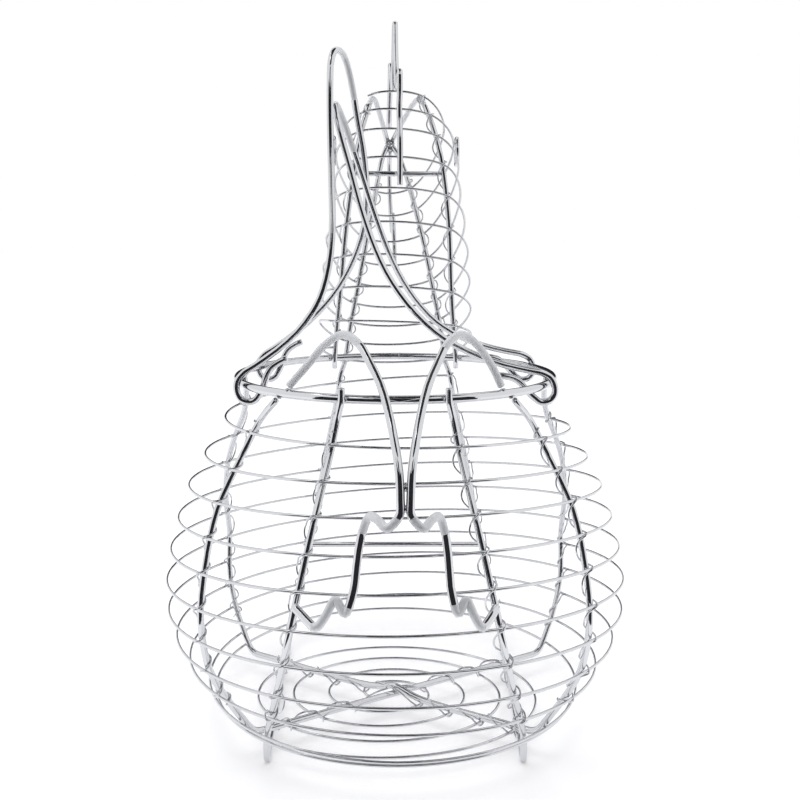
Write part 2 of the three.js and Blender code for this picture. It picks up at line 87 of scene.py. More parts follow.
# Feet: how far they are pressed flat, and distance inwards and share of the base run's height
FOOT_FLAT = 0.25
FOOT_PATH = [(0.2, 1.5), (0.7, 0.5), (3, 0), (5.7, 0.5), (9.6, 1), (15.6, 1)]

# Diagonal ribs: share of the way down and degrees from the tail
REAR_CROSS_ANGLES = [(0, 41), (0.06, 48), (0.14, 52.5), (0.3, 53), (0.6, 50.5), (1, 50)]
FRONT_CROSS_ANGLES = [(0, 102), (0.3, 113), (0.65, 122.8), (1, 113.5)]
CROSS_RIB_STATIONS = [0.08, 0.14, 0.22, 0.34, 0.48, 0.62, 0.76, 0.87, 0.94]
CROSS_RIB_RIM_RADIUS = 73.6
RIB_LEAN = 0.4

# Their bend on to the base as distance and height, and the arch of the upper over the lower one
CROSS_RIB_BEND = [(1.2, 1.5), (4.2, 0.15), (7.5, 0), (15, 0)]
CROSS_ARCH = 16.8
CROSS_ARCH_STOPS = [(-1, 0), (-0.5, 0.35), (0, 1), (0.5, 0.35), (1, 0)]

# Body winding: turn number and distance down the outline, and the turn where its end meets a rib
BODY_WINDING = [
    (0.4, 8), (1, 21.9), (2, 38.2), (4, 67.3), (6, 94.3), (9, 131.2), (10, 147.5), (11.2, 150),
]
WINDING_STARTS_AT_RIB = 0.438
FORWARD_DIP = 9.0
LEFT_DIP = 3.5

# Base spiral
SPIRAL_TURNS = 3.9
SPIRAL_RADII = (72, 9.6)
SPIRAL_SQUASH = 0.81
SPIRAL_BACK = 8.0
SPIRAL_LEFT = 3.5
SPIRAL_START = -125.0

# Neck: turn number, half span, Y and Z of the back wires and of the front wires, half width
NECK_ROWS = [
    (0, (31.2, 60.8, 156), (26.9, 70.9, 146.5), 40),
    (2, (28.9, 62.3, 186.5), (24.2, 77, 165), 39.5),
    (4, (27, 64.3, 219.5), (20.4, 82.5, 185.5), 37.5),
    (6, (23, 67.6, 253), (16.2, 88.5, 208.5), 33.5),
    (7, (19.9, 70.6, 268.3), (13.2, 92.5, 223), 33),
    (8, (16.7, 74, 279), (10.3, 96.8, 236.5), 30),
    (9, (12.8, 81, 288.3), (8, 100.8, 247), 25),
]
NECK_TURNS = 9
NECK_WIRE_TAIL = 5.0
NECK_FOOT_SHIFT = 0.4
SIDE_TOWARDS_BACK = 0.72
BEAK_Y = 116.0
BEAK_HEIGHT = 268.5
BEAK_SIDE = (RIB_WIRE + WELD_GAP) / 2
LOWER_BEAK_SETBACK = 1.0
BROW = (5.9, 102, 278.5)
THROAT = (5, 108.5, 258)
HEAD_TURN = 6.0
HEAD_PIVOT_Y = 86.0
HEAD_TURN_FROM = 160.0
HEAD_TURN_TO = 262.0

# Painted reflection: stretch of a neck rib over the crown in pale matt chrome, as shares of its length
NECK_RIB_PALE_REFLECTION = ((0.72, 0.93),)

# Bars
BREAST_BAR_HEIGHT = 46.5
BREAST_BAR_OVERHANG = 2.5
BREAST_BAR_SETBACK = 3.9
HEAD_BAR_HEIGHT = 247.0

# Comb and wattle in the middle plane, as Y and Z
COMB = [
    (59.5, 240.5), (61.3, 262), (65, 281.5), (62.5, 291), (63.5, 300.5), (69, 298.3), (77, 294.2),
    (84, 312), (87.5, 330.5), (91.5, 316), (99, 296), (105, 305), (110.5, 311.5), (114, 301),
    (118.5, 286), (121, 276),
]
WATTLE = [
    (115, 262.7), (119, 256), (121, 242), (119, 226), (113, 216), (108, 219), (104.5, 226),
    (100.5, 221), (97, 208), (93.5, 195.5),
]

# Eyes
EYE_RADIUS = 7.3
EYE_Y = 84.0
EYE_HEIGHT = 260.0
EYE_SINK = 0.2

# Tail: half span, Y and Z of each bend of one wire
TAIL = [
    (43, -57.7, 153.2), (37, -60, 162), (30, -65.5, 171), (23.2, -71, 175.5), (17, -78, 172.5),
    (12.7, -84, 165.7), (8.3, -93, 157.5), (4.5, -106, 144.6), (2.3, -114, 132.5),
    (1.8, -117, 123.5), (2.1, -117.5, 117.5), (6.2, -117.5, 113.2), (9.6, -113, 115),
    (12.4, -108, 114.5), (14.6, -106.5, 109), (16, -107, 101), (17.3, -108, 88.5),
    (20, -109.5, 80.8), (23.3, -107, 84.8), (26.3, -108, 79.5), (29.4, -108.5, 75.6),
    (32.8, -105, 77), (36.8, -99.6, 79.8),
]
TAIL_LEAN = 4.6
TAIL_LEAN_LOSS = 0.5

# Painted reflection: stretches of a tail wire in pale matt chrome, as shares of its length: outer leg
# with the top, and two zigzags
TAIL_PALE_REFLECTION = ((0.0, 0.225), (0.585, 0.7), (0.826, 0.94))

# Handles: hook as distance in from the rim and height above it, bail with its half width too
HOOK_HALF_SPAN = 34.0
HOOK = [
    (17.5, 11.5), (13.8, 9.8), (10.4, 7.2), (8.4, 3.8), (7.3, 0.2), (5.9, -2.8), (3.6, -6.1),
    (0.4, -6.9), (-2.8, -5.4), (-4.3, -2), (-4.0, 1.8), (-1.2, 5.4), (4.5, 9),
]
BAIL = [
    (14.5, 16, 34), (24, 24.5, 33), (33, 36, 31.4), (39.5, 51, 28.4), (43, 67, 24.6),
    (43.8, 82, 20.8), (43, 102, 16.2), (41.6, 118, 13.2), (40.6, 132, 10.8), (39.8, 142, 8.2),
    (39.4, 147.6, 4.6), (39.2, 149.3, 0),
]
BAIL_TWIST_FROM = 0.1
BAIL_TWIST_TO = 0.75
LEFT_BAIL_TWIST, LEFT_LEAN = 26.0, -0.8
RIGHT_BAIL_TWIST, RIGHT_LEAN = 8.0, 21.4

# Painted reflection: stretch beside the top of each handle in pale matt chrome, as shares of its length
HANDLE_PALE_REFLECTION = {"left_handle": ((0.435, 0.51),), "right_handle": ((0.495, 0.555),)}

# Lacing: turn of the wire round the rib between two crossings, as share of the way and degrees
LACING_TURN = [
    (0, 0), (0.1, 48), (0.2, 84), (0.34, 100), (0.5, 112), (0.64, 142), (0.76, 196),
    (0.86, 262), (0.93, 312), (1, 360),
]

# It stands off the rib in each turn, and less where two crossings are near each other
LACING_BULGE = 1.5
LACING_BULGE_FROM, LACING_BULGE_RUN = 0.08, 0.6
FULL_BULGE_LENGTH = 14.0
LACING_CLEARANCE = 0.12

# It runs on past the first and the last crossing of a rib
LACING_REACH = 5.5

# Crossings of a rib and a winding: slack in the seat, and numbers of points along the rib
CROSSING_SLACK = 1.2
CROSSING_WINDOW = 4
CROSSINGS_APART = 5
CROSSING_MARGIN = 2

# Weld beads: widest gap that one closes, half width, depth in each wire, distance between two
WELD_REACH = 1.2
WELD_SPREAD = 1.35
WELD_SINK = 0.55
WELDS_APART = 7.0

# Broad and fine waves of a bead's edge, as shares of its half width
WELD_UNEVENNESS = (0.09, 0.05)

# Butt weld of the rim
RIM_WELD_X = 2.0
RIM_WELD_SPREAD = 0.57 * RIM_WIRE
RIM_WELD_HALF_LENGTH = 0.6

# Cut ends of the wires, as shares of the diameter
END_CHAMFER = 0.12
END_RADIUS = 0.38

# Fineness of the wires and beads
FINE_STEP = 0.8
LACING_STEP = 0.5
BEND_PER_STEP = 5.0
LONGEST_STEP = 5.0
ROUGH_STEPS_PER_SPAN = 12
OUTLINE_SAMPLES = 601
WIRE_SIDES = 16
THIN_SIDES = 10
LACING_SIDES = 8
STEPS_PER_TURN = 96
RIM_STEPS = 144
EYE_STEPS = 48
BEAD_SIDES = 12
BEAD_RINGS = 8
HALVINGS = 40

# Reach to either side of a place where a slope or a tangent is measured
SLOPE_REACH = 0.002
TANGENT_REACH = 0.01
LACING_TANGENT_REACH = 0.5
SHORTEST_SPAN = 1e-4

# Chrome: sizes of the dull patches, of the waves and of the lines along the wire
PATCH_SIZE = 18.0
PATCH_EDGES = (0.35, 0.75)
PATCH_DULLNESS = 0.05
PEEL_SIZE = 2.2
PEEL_DEPTH = 0.05
DIE_LINE_LENGTH = 25.0
DIE_LINES_ROUND = 26.0
DIE_LINE_DEPTH = 0.01
DIE_LINE_STRENGTH = 0.25

# Camera at the height of the head, level, with the view shifted down to the basket
CAMERA_PLACE = (0.0, -465.0, 214.0)
CAMERA_LENS = 45.36
SENSOR_WIDTH = 36.0
SHIFT_RIGHT = 0.006
SHIFT_UP = -0.205

# White floor, and the glow that lifts it to the room's white
FLOOR_HALF = 12.0
FLOOR_GLOW = 0.16

# White room: the light that it gives, and how bright it looks
ROOM_LIGHT = 0.95
ROOM_BRIGHTNESS = 1.0

# Softbox
SOFTBOX_PLACE = (-0.25, -0.1, 1.5)
SOFTBOX_TARGET = (0, 0, 0.1)
SOFTBOX_SIZE = (0.9, 0.9)
SOFTBOX_POWER = 5

# Dark cloths round the table: degrees from the tail where one starts and ends, then the
# distance from the middle and the height of its near and of its far edge
CLOTHS = {
    "cloth_before_table": (-54, 54, (0.25, 0.001), (1.5, 0.001)),
    "cloth_behind_camera": (-54, 54, (1.5, 0.001), (1.5, 1.05)),
    "cloth_above_camera": (-16, 16, (1.5, 1.05), (1.5, 1.6)),
    "cloth_overhead": (0, 360, (0.02, 1.3), (0.62, 1.3)),
    "cloth_overhead_front": (-32, 32, (0.62, 1.3), (1.1, 1.3)),
    "cloth_far": (155, 205, (1.5, 0.2), (1.5, 1.1)),
}
CLOTH_STEPS = 24

MM = 0.001
basket_low, basket_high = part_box("rim_ring")
CENTRE = np.array([
    (basket_low[0] + basket_high[0]) / 2 / MM,
    (basket_low[1] + basket_high[1]) / 2 / MM,
    0.0,
])


def vec(x, y, z):
    return np.array([x, y, z], float)


# No wire runs this way, so it gives every wire a first sideways direction
ODD_DIRECTION = vec(0.31, 0.2, 0.93)


def unit(v):
    return v / np.linalg.norm(v)


def smoothstep(x, low, high):
    share = min(max((x - low) / (high - low), 0), 1)
    return share * share * (3 - 2 * share)


def hermite(p, q, lead, trail, w):
    """Point at a share w of the way from p to q, which leaves p and meets q at given slopes."""
    w2, w3 = w * w, w * w * w
    return (
        (2 * w3 - 3 * w2 + 1) * p + (w3 - 2 * w2 + w) * lead
        + (-2 * w3 + 3 * w2) * q + (w3 - w2) * trail
    )


class SmoothLine:
    """A smooth line through points, closed on itself or open."""

    def __init__(self, points, closed=False):
        self.points = [np.array(p, float) for p in points]
        self.closed = closed
        self.spans = len(self.points) if closed else len(self.points) - 1

    def knot(self, i):
        count = len(self.points)
        if self.closed:
            return self.points[i % count]
        if i < 0:
            return 2 * self.points[0] - self.points[1]
        if i >= count:
            return 2 * self.points[-1] - self.points[-2]
        return self.points[i]

    def at(self, place):
        """Point at a place counted in points along the line.

        Spans count by the square root of their length, which keeps short ones from looping.
        """
        i = min(int(place), self.spans - 1)
        a, b, c, d = (self.knot(i + k) for k in (-1, 0, 1, 2))
        gaps = (np.linalg.norm(q - p) for p, q in ((a, b), (b, c), (c, d)))
        g0, g1, g2 = (max(gap, SHORTEST_SPAN) ** 0.5 for gap in gaps)
        lead = ((b - a) / g0 - (c - a) / (g0 + g1) + (c - b) / g1) * g1
        trail = ((c - b) / g1 - (d - b) / (g1 + g2) + (d - c) / g2) * g1
        return hermite(b, c, lead, trail, place - i)

    def tangent(self, place):
        low = max(place - TANGENT_REACH, 0)
        return unit(self.at(min(low + 2 * TANGENT_REACH, self.spans)) - self.at(low))

    def path(self, start=0, end=None, step=FINE_STEP):
        """Points a short step apart from one place on the line to another."""
        end = self.spans if end is None else end
        places = np.linspace(start, end, int((end - start) * ROUGH_STEPS_PER_SPAN) + 2)
        return evenly(np.array([self.at(place) for place in places]), step)


def evenly(path, step):
    """The same path with its points a given step apart."""
    along = lengths(path)
    count = max(int(along[-1] / step), 2)
    at = np.linspace(0, along[-1], count + 1)
    return np.stack([np.interp(at, along, path[:, k]) for k in range(3)], 1)


def lengths(path):
    """Distance along the path to each of its points."""
    return np.concatenate([[0], np.cumsum(np.linalg.norm(np.diff(path, axis=0), axis=1))])


def needed(path):
    """Only the points that a bend or a long straight needs."""
    kept = [path[0]]
    bend = run = 0.0
    for before, here, after in zip(path[:-2], path[1:-1], path[2:]):
        cosine = np.dot(unit(here - before), unit(after - here))
        bend += math.degrees(math.acos(min(max(cosine, -1), 1)))
        run += np.linalg.norm(here - before)
        if bend > BEND_PER_STEP or run > LONGEST_STEP:
            kept.append(here)
            bend = run = 0.0
    return np.array(kept + [path[-1]])


def belly_table():
    """Fine points of the belly's outline as radius and height, and the distance down to each."""
    knots = np.array(BELLY, float)
    last = len(knots) - 1
    fine = []
    for x in np.linspace(0, last, OUTLINE_SAMPLES):
        i = min(int(x), last - 1)
        a, d = knots[max(i - 1, 0)], knots[min(i + 2, last)]
        b, c = knots[i], knots[i + 1]
        fine.append(hermite(b, c, (c - a) / 2, (d - b) / 2, x - i))
    fine = np.array(fine)
    return fine, lengths(fine)


belly_line, belly_along = belly_table()
belly_length = belly_along[-1]


def belly_at(u):
    """Radius and height of the belly at a share of the way down its outline."""
    at = min(max(u, 0), 1) * belly_length
    return np.array([np.interp(at, belly_along, belly_line[:, k]) for k in range(2)])


def rib_outline(u):
    """Radius and height of a rib's centre line, inside the winding."""
    slope = unit(belly_at(min(u + SLOPE_REACH, 1)) - belly_at(max(u - SLOPE_REACH, 0)))
    return belly_at(u) + np.array([slope[1], -slope[0]]) * RIB_SEAT


def at_stops(stops, x):
    """Value at x between the stops of a table."""
    return float(np.interp(x, [s[0] for s in stops], [s[1] for s in stops]))


def span_at(spans, u):
    return spans[0] + (spans[1] - spans[0]) * u


def span_point(u, half_span, facing):
    """Point of a rib that is half_span from the middle plane, facing the breast (1) or tail (-1)."""
    radius, height = rib_outline(u)
    return vec(half_span, facing * math.sqrt(radius ** 2 - half_span ** 2), height)


def foot_points(half_span, facing):
    """A foot: down from the outline, flat on the table, and up to the base run."""
    bottom = RIB_WIRE / 2 - FOOT_FLAT
    radius = FOOT_RING_RADIUS - RIB_SEAT - 2 * CORNER_CLEARANCE
    y = math.sqrt(radius ** 2 - half_span ** 2)
    dip = [
        vec(half_span, facing * (y - inward), bottom + (BASE_RUN_HEIGHT - bottom) * share)
        for inward, share in FOOT_PATH
    ]
    return [vec(half_span, facing * y, FOOT_RING_HEIGHT)] + dip


def long_rib():
    """Right long rib: rear rib, foot, base run, foot, breast rib, front of the neck, beak."""
    top_radius = RIM_RADIUS + RIM_WIRE / 2 + WELD_GAP + RIB_WIRE / 2
    top_y = -math.sqrt(top_radius ** 2 - REAR_SPANS[0] ** 2)
    points = [vec(REAR_SPANS[0], top_y, RIM_HEIGHT + RIM_WIRE / 2 + STUB_ABOVE_RIM)]
    points.append(vec(REAR_SPANS[0], top_y, RIM_HEIGHT))
    points += [span_point(u, span_at(REAR_SPANS, u), -1) for u in LONG_RIB_STATIONS]
    points += foot_points(REAR_SPANS[1], -1)
    points += foot_points(BREAST_SPANS[1], 1)[::-1]
    points += [span_point(u, span_at(BREAST_SPANS, u), 1) for u in LONG_RIB_STATIONS[::-1]]
    points += [vec(*row[2]) for row in NECK_ROWS]
    points.append(vec(*THROAT))
    points.append(vec(BEAK_SIDE, BEAK_Y - LOWER_BEAK_SETBACK, BEAK_HEIGHT - RIB_WIRE - WELD_GAP))
    return points


def cross_rib_side(u, angles, side):
    angle = math.radians(at_stops(angles, u))
    radius, height = rib_outline(u)
    return vec(side * radius * math.sin(angle), -radius * math.cos(angle), height)


def cross_rib_top(angles, side):
    angle = math.radians(angles[0][1])
    height = RIM_HEIGHT - RIM_WIRE / 2 - WELD_GAP - RIB_LEAN
    x = side * CROSS_RIB_RIM_RADIUS * math.sin(angle)
    return vec(x, -CROSS_RIB_RIM_RADIUS * math.cos(angle), height)


def cross_rib(lift):
    """Diagonal rib: down at the left rear, across the base, up at the right front."""
    run_height = BASE_RUN_HEIGHT + 2 * RIB_SEAT
    rear = cross_rib_side(1, REAR_CROSS_ANGLES, -1)
    front = cross_rib_side(1, FRONT_CROSS_ANGLES, 1)
    length = np.linalg.norm(rear - front)

    def on_base(distance, height):
        share = (distance if distance >= 0 else length + distance) / length
        point = rear + (front - rear) * share
        return vec(point[0], point[1], height)

    middle = length * -rear[0] / (front[0] - rear[0])
    points = [cross_rib_top(REAR_CROSS_ANGLES, -1)]
    points += [cross_rib_side(u, REAR_CROSS_ANGLES, -1) for u in CROSS_RIB_STATIONS]
    points += [on_base(d, run_height + up) for d, up in CROSS_RIB_BEND]
    points += [on_base(middle + s * CROSS_ARCH, run_height + up * lift) for s, up in CROSS_ARCH_STOPS]
    points += [on_base(-d, run_height + up) for d, up in CROSS_RIB_BEND[::-1]]
    points += [cross_rib_side(u, FRONT_CROSS_ANGLES, 1) for u in CROSS_RIB_STATIONS[::-1]]
    points.append(cross_rib_top(FRONT_CROSS_ANGLES, 1))
    return points


def neck_rib():
    """Right neck rib: inside the rim, up the back, over the crown, to the beak."""
    inner = RIM_RADIUS - RIM_WIRE / 2 - WELD_GAP - RIB_WIRE / 2
    span = NECK_ROWS[0][1][0] + NECK_FOOT_SHIFT
    y = math.sqrt(inner ** 2 - span ** 2)
    points = [vec(span, y, RIM_HEIGHT - NECK_WIRE_TAIL), vec(span, y, RIM_HEIGHT)]
    points += [vec(*row[1]) for row in NECK_ROWS]
    return points + [vec(*BROW), vec(BEAK_SIDE, BEAK_Y, BEAK_HEIGHT)]


TO_OTHER_SIDE = np.array([-1, 1, 1])


def mirrored(points):
    return [p * TO_OTHER_SIDE for p in points]


LONG_RIB = SmoothLine(long_rib())
NECK_RIB = SmoothLine(neck_rib())
LOWER_CROSS_RIB = SmoothLine(cross_rib(0))
UPPER_CROSS_RIB = SmoothLine(mirrored(cross_rib(RIB_WIRE + WELD_GAP)))

# Parts of the ribs, as first and last place in their points
FOOT_COUNT = len(FOOT_PATH) + 1
REAR_PART = (1, 1 + len(LONG_RIB_STATIONS))
BASE_PART = (REAR_PART[1] + FOOT_COUNT - 1, REAR_PART[1] + FOOT_COUNT + 2)
BREAST_PART = (REAR_PART[1] + 2 * FOOT_COUNT + 1, REAR_PART[1] + 2 * FOOT_COUNT + len(LONG_RIB_STATIONS))
THROAT_PART = (BREAST_PART[1] + 1, BREAST_PART[1] + len(NECK_ROWS))
NAPE_PART = (2, 1 + len(NECK_ROWS))


def twisted(point):
    """The head's slight turn to the left, which grows up the neck."""
    angle = math.radians(HEAD_TURN) * smoothstep(point[2], HEAD_TURN_FROM, HEAD_TURN_TO)
    x, y = point[0], point[1] - HEAD_PIVOT_Y
    turned_y = x * math.sin(angle) + y * math.cos(angle)
    return vec(x * math.cos(angle) - y * math.sin(angle), turned_y + HEAD_PIVOT_Y, point[2])


def with_straight_ends(points, diameter):
    """The points with one more at each end, a diameter further on."""
    first = points[0] + unit(points[0] - points[1]) * diameter
    last = points[-1] + unit(points[-1] - points[-2]) * diameter
    return np.array([first] + list(points) + [last])


def body_winding():
    """One thin wire down the belly, whose turns dip towards the front and the left."""
    first, last = WINDING_STARTS_AT_RIB, BODY_WINDING[-1][0]
    points = []
    for turn in np.linspace(first, last, int((last - first) * STEPS_PER_TURN) + 1):
        angle = turn * 2 * math.pi - math.pi / 2
        share = at_stops(BODY_WINDING, turn) / belly_length
        lean = FORWARD_DIP * math.sin(angle) - LEFT_DIP * math.cos(angle)
        dip = lean / belly_length * math.sin(math.pi * share)
        radius, height = belly_at(share + dip)
        points.append(vec(radius * math.cos(angle), radius * math.sin(angle), height))
    return with_straight_ends(points, WINDING_WIRE)


def base_spiral():
    """One thin wire that winds inwards on the base runs."""
    steps = int(SPIRAL_TURNS * STEPS_PER_TURN)
    points = []
    for i in range(steps + 1):
        angle = math.radians(SPIRAL_START) + i / STEPS_PER_TURN * 2 * math.pi
        radius = SPIRAL_RADII[0] + (SPIRAL_RADII[1] - SPIRAL_RADII[0]) * i / steps
        y = radius * SPIRAL_SQUASH * math.sin(angle) - SPIRAL_BACK
        points.append(vec(radius * math.cos(angle) - SPIRAL_LEFT, y, BASE_RUN_HEIGHT + RIB_SEAT))
    return with_straight_ends(points, WINDING_WIRE)


side_points = []
for _, back, fore, half_width in NECK_ROWS:
    between = vec(*fore) + (vec(*back) - vec(*fore)) * SIDE_TOWARDS_BACK
    side_points.append(vec(half_width, between[1], between[2]))
SIDE_LINE = SmoothLine(side_points)


def row_at(turn):
    """Place among the neck's rows that a turn number stands for."""
    return at_stops([(row[0], i) for i, row in enumerate(NECK_ROWS)], turn)


def corner_seat(line, place, facing):
    """Where the neck winding goes round a rib, on its outer side."""
    tangent = line.tangent(place)
    outward = unit(vec(0, facing * tangent[2], -facing * tangent[1])) + vec(1, 0, 0)
    return line.at(place) + unit(outward) * (RIB_SEAT + CORNER_CLEARANCE)


def neck_loop(turn):
    """The closed outline that the neck winding follows at one turn."""
    row = row_at(turn)
    rear = corner_seat(NECK_RIB, NAPE_PART[0] + row, -1)
    fore = corner_seat(LONG_RIB, THROAT_PART[0] + row, 1)
    side = SIDE_LINE.at(row)
    left_rear, left_fore, left_side = mirrored([rear, fore, side])
    return SmoothLine([left_rear, rear, side, fore, left_fore, left_side], closed=True)


def neck_winding():
    """One thin wire down the head and the neck."""
    steps = NECK_TURNS * STEPS_PER_TURN
    points = []
    for i in range(steps + 1):
        loop = neck_loop(NECK_TURNS - i / STEPS_PER_TURN)
        points.append(twisted(loop.at((i / STEPS_PER_TURN) % 1 * loop.spans)))
    return with_straight_ends(points, WINDING_WIRE)


def handle(side, twist, lean):
    """One wire makes hook, leg, round top, leg and hook."""
    full = BAIL[-1][1]
    near = [vec(inward, HOOK_HALF_SPAN, up) for inward, up in HOOK]
    far = [vec(inward, -HOOK_HALF_SPAN, up) for inward, up in HOOK]
    for inward, up, half_width in BAIL:
        angle = math.radians(twist) * smoothstep(up / full, BAIL_TWIST_FROM, BAIL_TWIST_TO)
        across = half_width * math.sin(angle)
        near.append(vec(inward + across, half_width * math.cos(angle), up))
        far.append(vec(inward - across, -half_width * math.cos(angle), up))
    lean = math.radians(lean)
    hinge_x = math.sqrt(RIM_RADIUS ** 2 - HOOK_HALF_SPAN ** 2)
    points = []
    for x, y, z in near + far[-2::-1]:
        inward = x * math.cos(lean) + z * math.sin(lean)
        up = z * math.cos(lean) - x * math.sin(lean)
        points.append(vec(side * (hinge_x - inward), -side * y, RIM_HEIGHT + up))
    return SmoothLine(points).path()


def tail_wire(side):
    """One side of the tail: arch, zigzag, leg and zigzag, with a slight lean to the right."""
    last = len(TAIL) - 1
    points = []
    for i, (x, y, z) in enumerate(TAIL):
        along = i / last
        bow = math.sqrt(abs(math.sin(math.pi * along)))
        points.append(vec(side * x + TAIL_LEAN * bow * (1 - TAIL_LEAN_LOSS * along), y, z))
    return SmoothLine(points).path()


def paint_pale_reflection_stretches(piece, stretches):
    """Paints a wire's faces with pale matt chrome in stretches, which are shares of its length, as a
    painted reflection of the white room.
    """
    mesh = piece.data
    mesh.materials.append(pale_reflection_chrome)
    runs = np.zeros(2 * len(mesh.loops))
    mesh.uv_layers["wire"].data.foreach_get("uv", runs)
    longest = runs[::2].max()
    for face in mesh.polygons:
        share = runs[2 * face.loop_start] / longest
        if any(first <= share <= last for first, last in stretches):
            face.material_index = 1


def ring(centre, radius, across, up, steps):
    """Points of a circle in the plane of two directions."""
    angles = np.linspace(0, 2 * math.pi, steps, endpoint=False)
    return np.array([centre + radius * (math.cos(a) * across + math.sin(a) * up) for a in angles])


def new_object(name, data):
    thing = bpy.data.objects.new(name, data)
    bpy.context.scene.collection.objects.link(thing)
    return thing


def smooth_mesh(name, points, faces, finish):
    mesh = bpy.data.meshes.new(name)
    mesh.from_pydata(points, [], faces)
    mesh.polygons.foreach_set("use_smooth", [True] * len(faces))
    mesh.materials.append(finish)
    return mesh


def with_cut_ends(path, diameter):
    """The path with a point close to each end, and the radius at every point."""
    chamfer = END_CHAMFER * diameter
    first = path[0] + unit(path[1] - path[0]) * chamfer
    last = path[-1] + unit(path[-2] - path[-1]) * chamfer
    path = np.array([path[0], first] + list(path[1:-1]) + [last, path[-1]])
    radii = np.full(len(path), diameter / 2)
    radii[0] = radii[-1] = END_RADIUS * diameter
    return path, radii


def directions(path, closed):
    """The way that a path runs at each of its points."""
    along = np.roll(path, -1, 0) - np.roll(path, 1, 0) if closed else np.gradient(path, axis=0)
    return along / np.linalg.norm(along, axis=1)[:, None]


def sideways_of(along):
    """A sideways direction at each point, which turns no more than the path does."""
    side = unit(np.cross(along[0], ODD_DIRECTION))
    sideways = [side]
    for tangent in along[1:]:
        side = unit(side - tangent * np.dot(side, tangent))
        sideways.append(side)
    return sideways


def closing_twist(along, sideways):
    """Angle that brings the end of a closed wire back in line with its start."""
    back = unit(sideways[-1] - along[0] * np.dot(sideways[-1], along[0]))
    other = np.cross(along[0], sideways[0])
    return -math.atan2(np.dot(back, other), np.dot(back, sideways[0]))


def wire_faces(path, sides, closed):
    """Faces round and along a wire, and their places as distance along it and share round it."""
    count = len(path)
    run = lengths(path)
    faces, texture = [], []
    for i in range(count if closed else count - 1):
        here, there = i * sides, (i + 1) % count * sides
        run_end = run[i + 1] if i + 1 < count else run[i] + np.linalg.norm(path[0] - path[i])
        for k in range(sides):
            after = (k + 1) % sides
            faces.append((here + k, here + after, there + after, there + k))
            low, high = k / sides, (k + 1) / sides
            texture += [(run[i], low), (run[i], high), (run_end, high), (run_end, low)]
    if not closed:
        faces.append(tuple(range(sides))[::-1])
        faces.append(tuple(range((count - 1) * sides, count * sides)))
        texture += [(0, 0)] * (2 * sides)
    return faces, texture


def swept_wire(name, path, diameter, finish, body="basket", sides=WIRE_SIDES, closed=False):
    """A round wire along a path, with its cut ends rounded off a little."""
    radii = np.full(len(path), diameter / 2)
    if not closed:
        path, radii = with_cut_ends(path, diameter)
    along = directions(path, closed)
    sideways = sideways_of(along)
    twist = closing_twist(along, sideways) if closed else 0.0
    points = []
    for i, centre in enumerate(path):
        up = np.cross(along[i], sideways[i])
        for k in range(sides):
            angle = (k / sides) * 2 * math.pi + twist * i / len(path)
            offset = (sideways[i] * math.cos(angle) + up * math.sin(angle)) * radii[i]
            points.append(on_floor((centre + offset + CENTRE) * MM))
    faces, texture = wire_faces(path, sides, closed)
    mesh = smooth_mesh(name, points, faces, finish)
    layer = mesh.uv_layers.new(name="wire")
    layer.data.foreach_set("uv", np.array(texture, float).ravel())
    piece = new_object(name, mesh)
    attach(piece, body)
    return piece


def on_floor(point):
    """The feet are pressed flat where they stand."""
    return point[0], point[1], max(point[2], 0.0)


def linear(hex_colour):
    """Linear colour of an sRGB hex value."""
    channels = [int(hex_colour[i:i + 2], 16) / 255 for i in (1, 3, 5)]
    spread = [c / 12.92 if c <= 0.04045 else ((c + 0.055) / 1.055) ** 2.4 for c in channels]
    return (*spread, 1)


def add_node(owner, kind, inputs=None, **settings):
    """Adds one node to a material or world, with its settings and its inputs or links."""
    node = owner.node_tree.nodes.new(kind)
    for name, value in settings.items():
        setattr(node, name, value)
    for name, value in (inputs or {}).items():
        if isinstance(value, bpy.types.NodeSocket):
            owner.node_tree.links.new(value, node.inputs[name])
        else:
            node.inputs[name].default_value = value
    return node


def new_material(name):
    material = bpy.data.materials.new(name)
    material.use_nodes = True
    material.node_tree.nodes.clear()
    return material


def chrome_plate(name, colour, roughness, wave):
    """Chrome over nickel on drawn steel wire.

    The plating mirrors the room with a slight waviness, like orange peel, and handling dulls it
    in patches. The drawing die leaves faint lines along the wire. Real ones are a few hundredths
    of a millimetre apart, and these are drawn coarser so that they show.
    """
    material = new_material(name)
    place = add_node(material, "ShaderNodeTexCoord")
    patches = add_node(material, "ShaderNodeTexNoise", {
        "Vector": place.outputs["Object"], "Scale": 1 / (PATCH_SIZE * MM), "Detail": 3.0,
    })
    dulled = add_node(material, "ShaderNodeMapRange", {
        "Value": patches.outputs["Fac"], "From Min": PATCH_EDGES[0], "From Max": PATCH_EDGES[1],
        "To Min": roughness, "To Max": roughness + PATCH_DULLNESS,
    })
    peel = add_node(material, "ShaderNodeTexNoise", {
        "Vector": place.outputs["Object"], "Scale": 1 / (PEEL_SIZE * MM), "Detail": 2.0,
    })
    stretched = add_node(material, "ShaderNodeMapping", {
        "Vector": place.outputs["UV"], "Scale": (1 / DIE_LINE_LENGTH, DIE_LINES_ROUND, 1.0),
    })
    die_lines = add_node(material, "ShaderNodeTexNoise", {
        "Vector": stretched.outputs["Vector"], "Scale": 1.0, "Detail": 2.0,
    })
    waved = add_node(material, "ShaderNodeBump", {
        "Height": peel.outputs["Fac"], "Strength": wave, "Distance": PEEL_DEPTH * MM,
    })
    lined = add_node(material, "ShaderNodeBump", {
        "Height": die_lines.outputs["Fac"], "Strength": DIE_LINE_STRENGTH,
        "Distance": DIE_LINE_DEPTH * MM, "Normal": waved.outputs["Normal"],
    })
    surface = add_node(material, "ShaderNodeBsdfPrincipled", {
        "Base Color": linear(colour), "Metallic": 1.0, "Roughness": dulled.outputs["Result"],
        "Normal": lined.outputs["Normal"],
    })
    add_node(material, "ShaderNodeOutputMaterial", {"Surface": surface.outputs["BSDF"]})
    return material


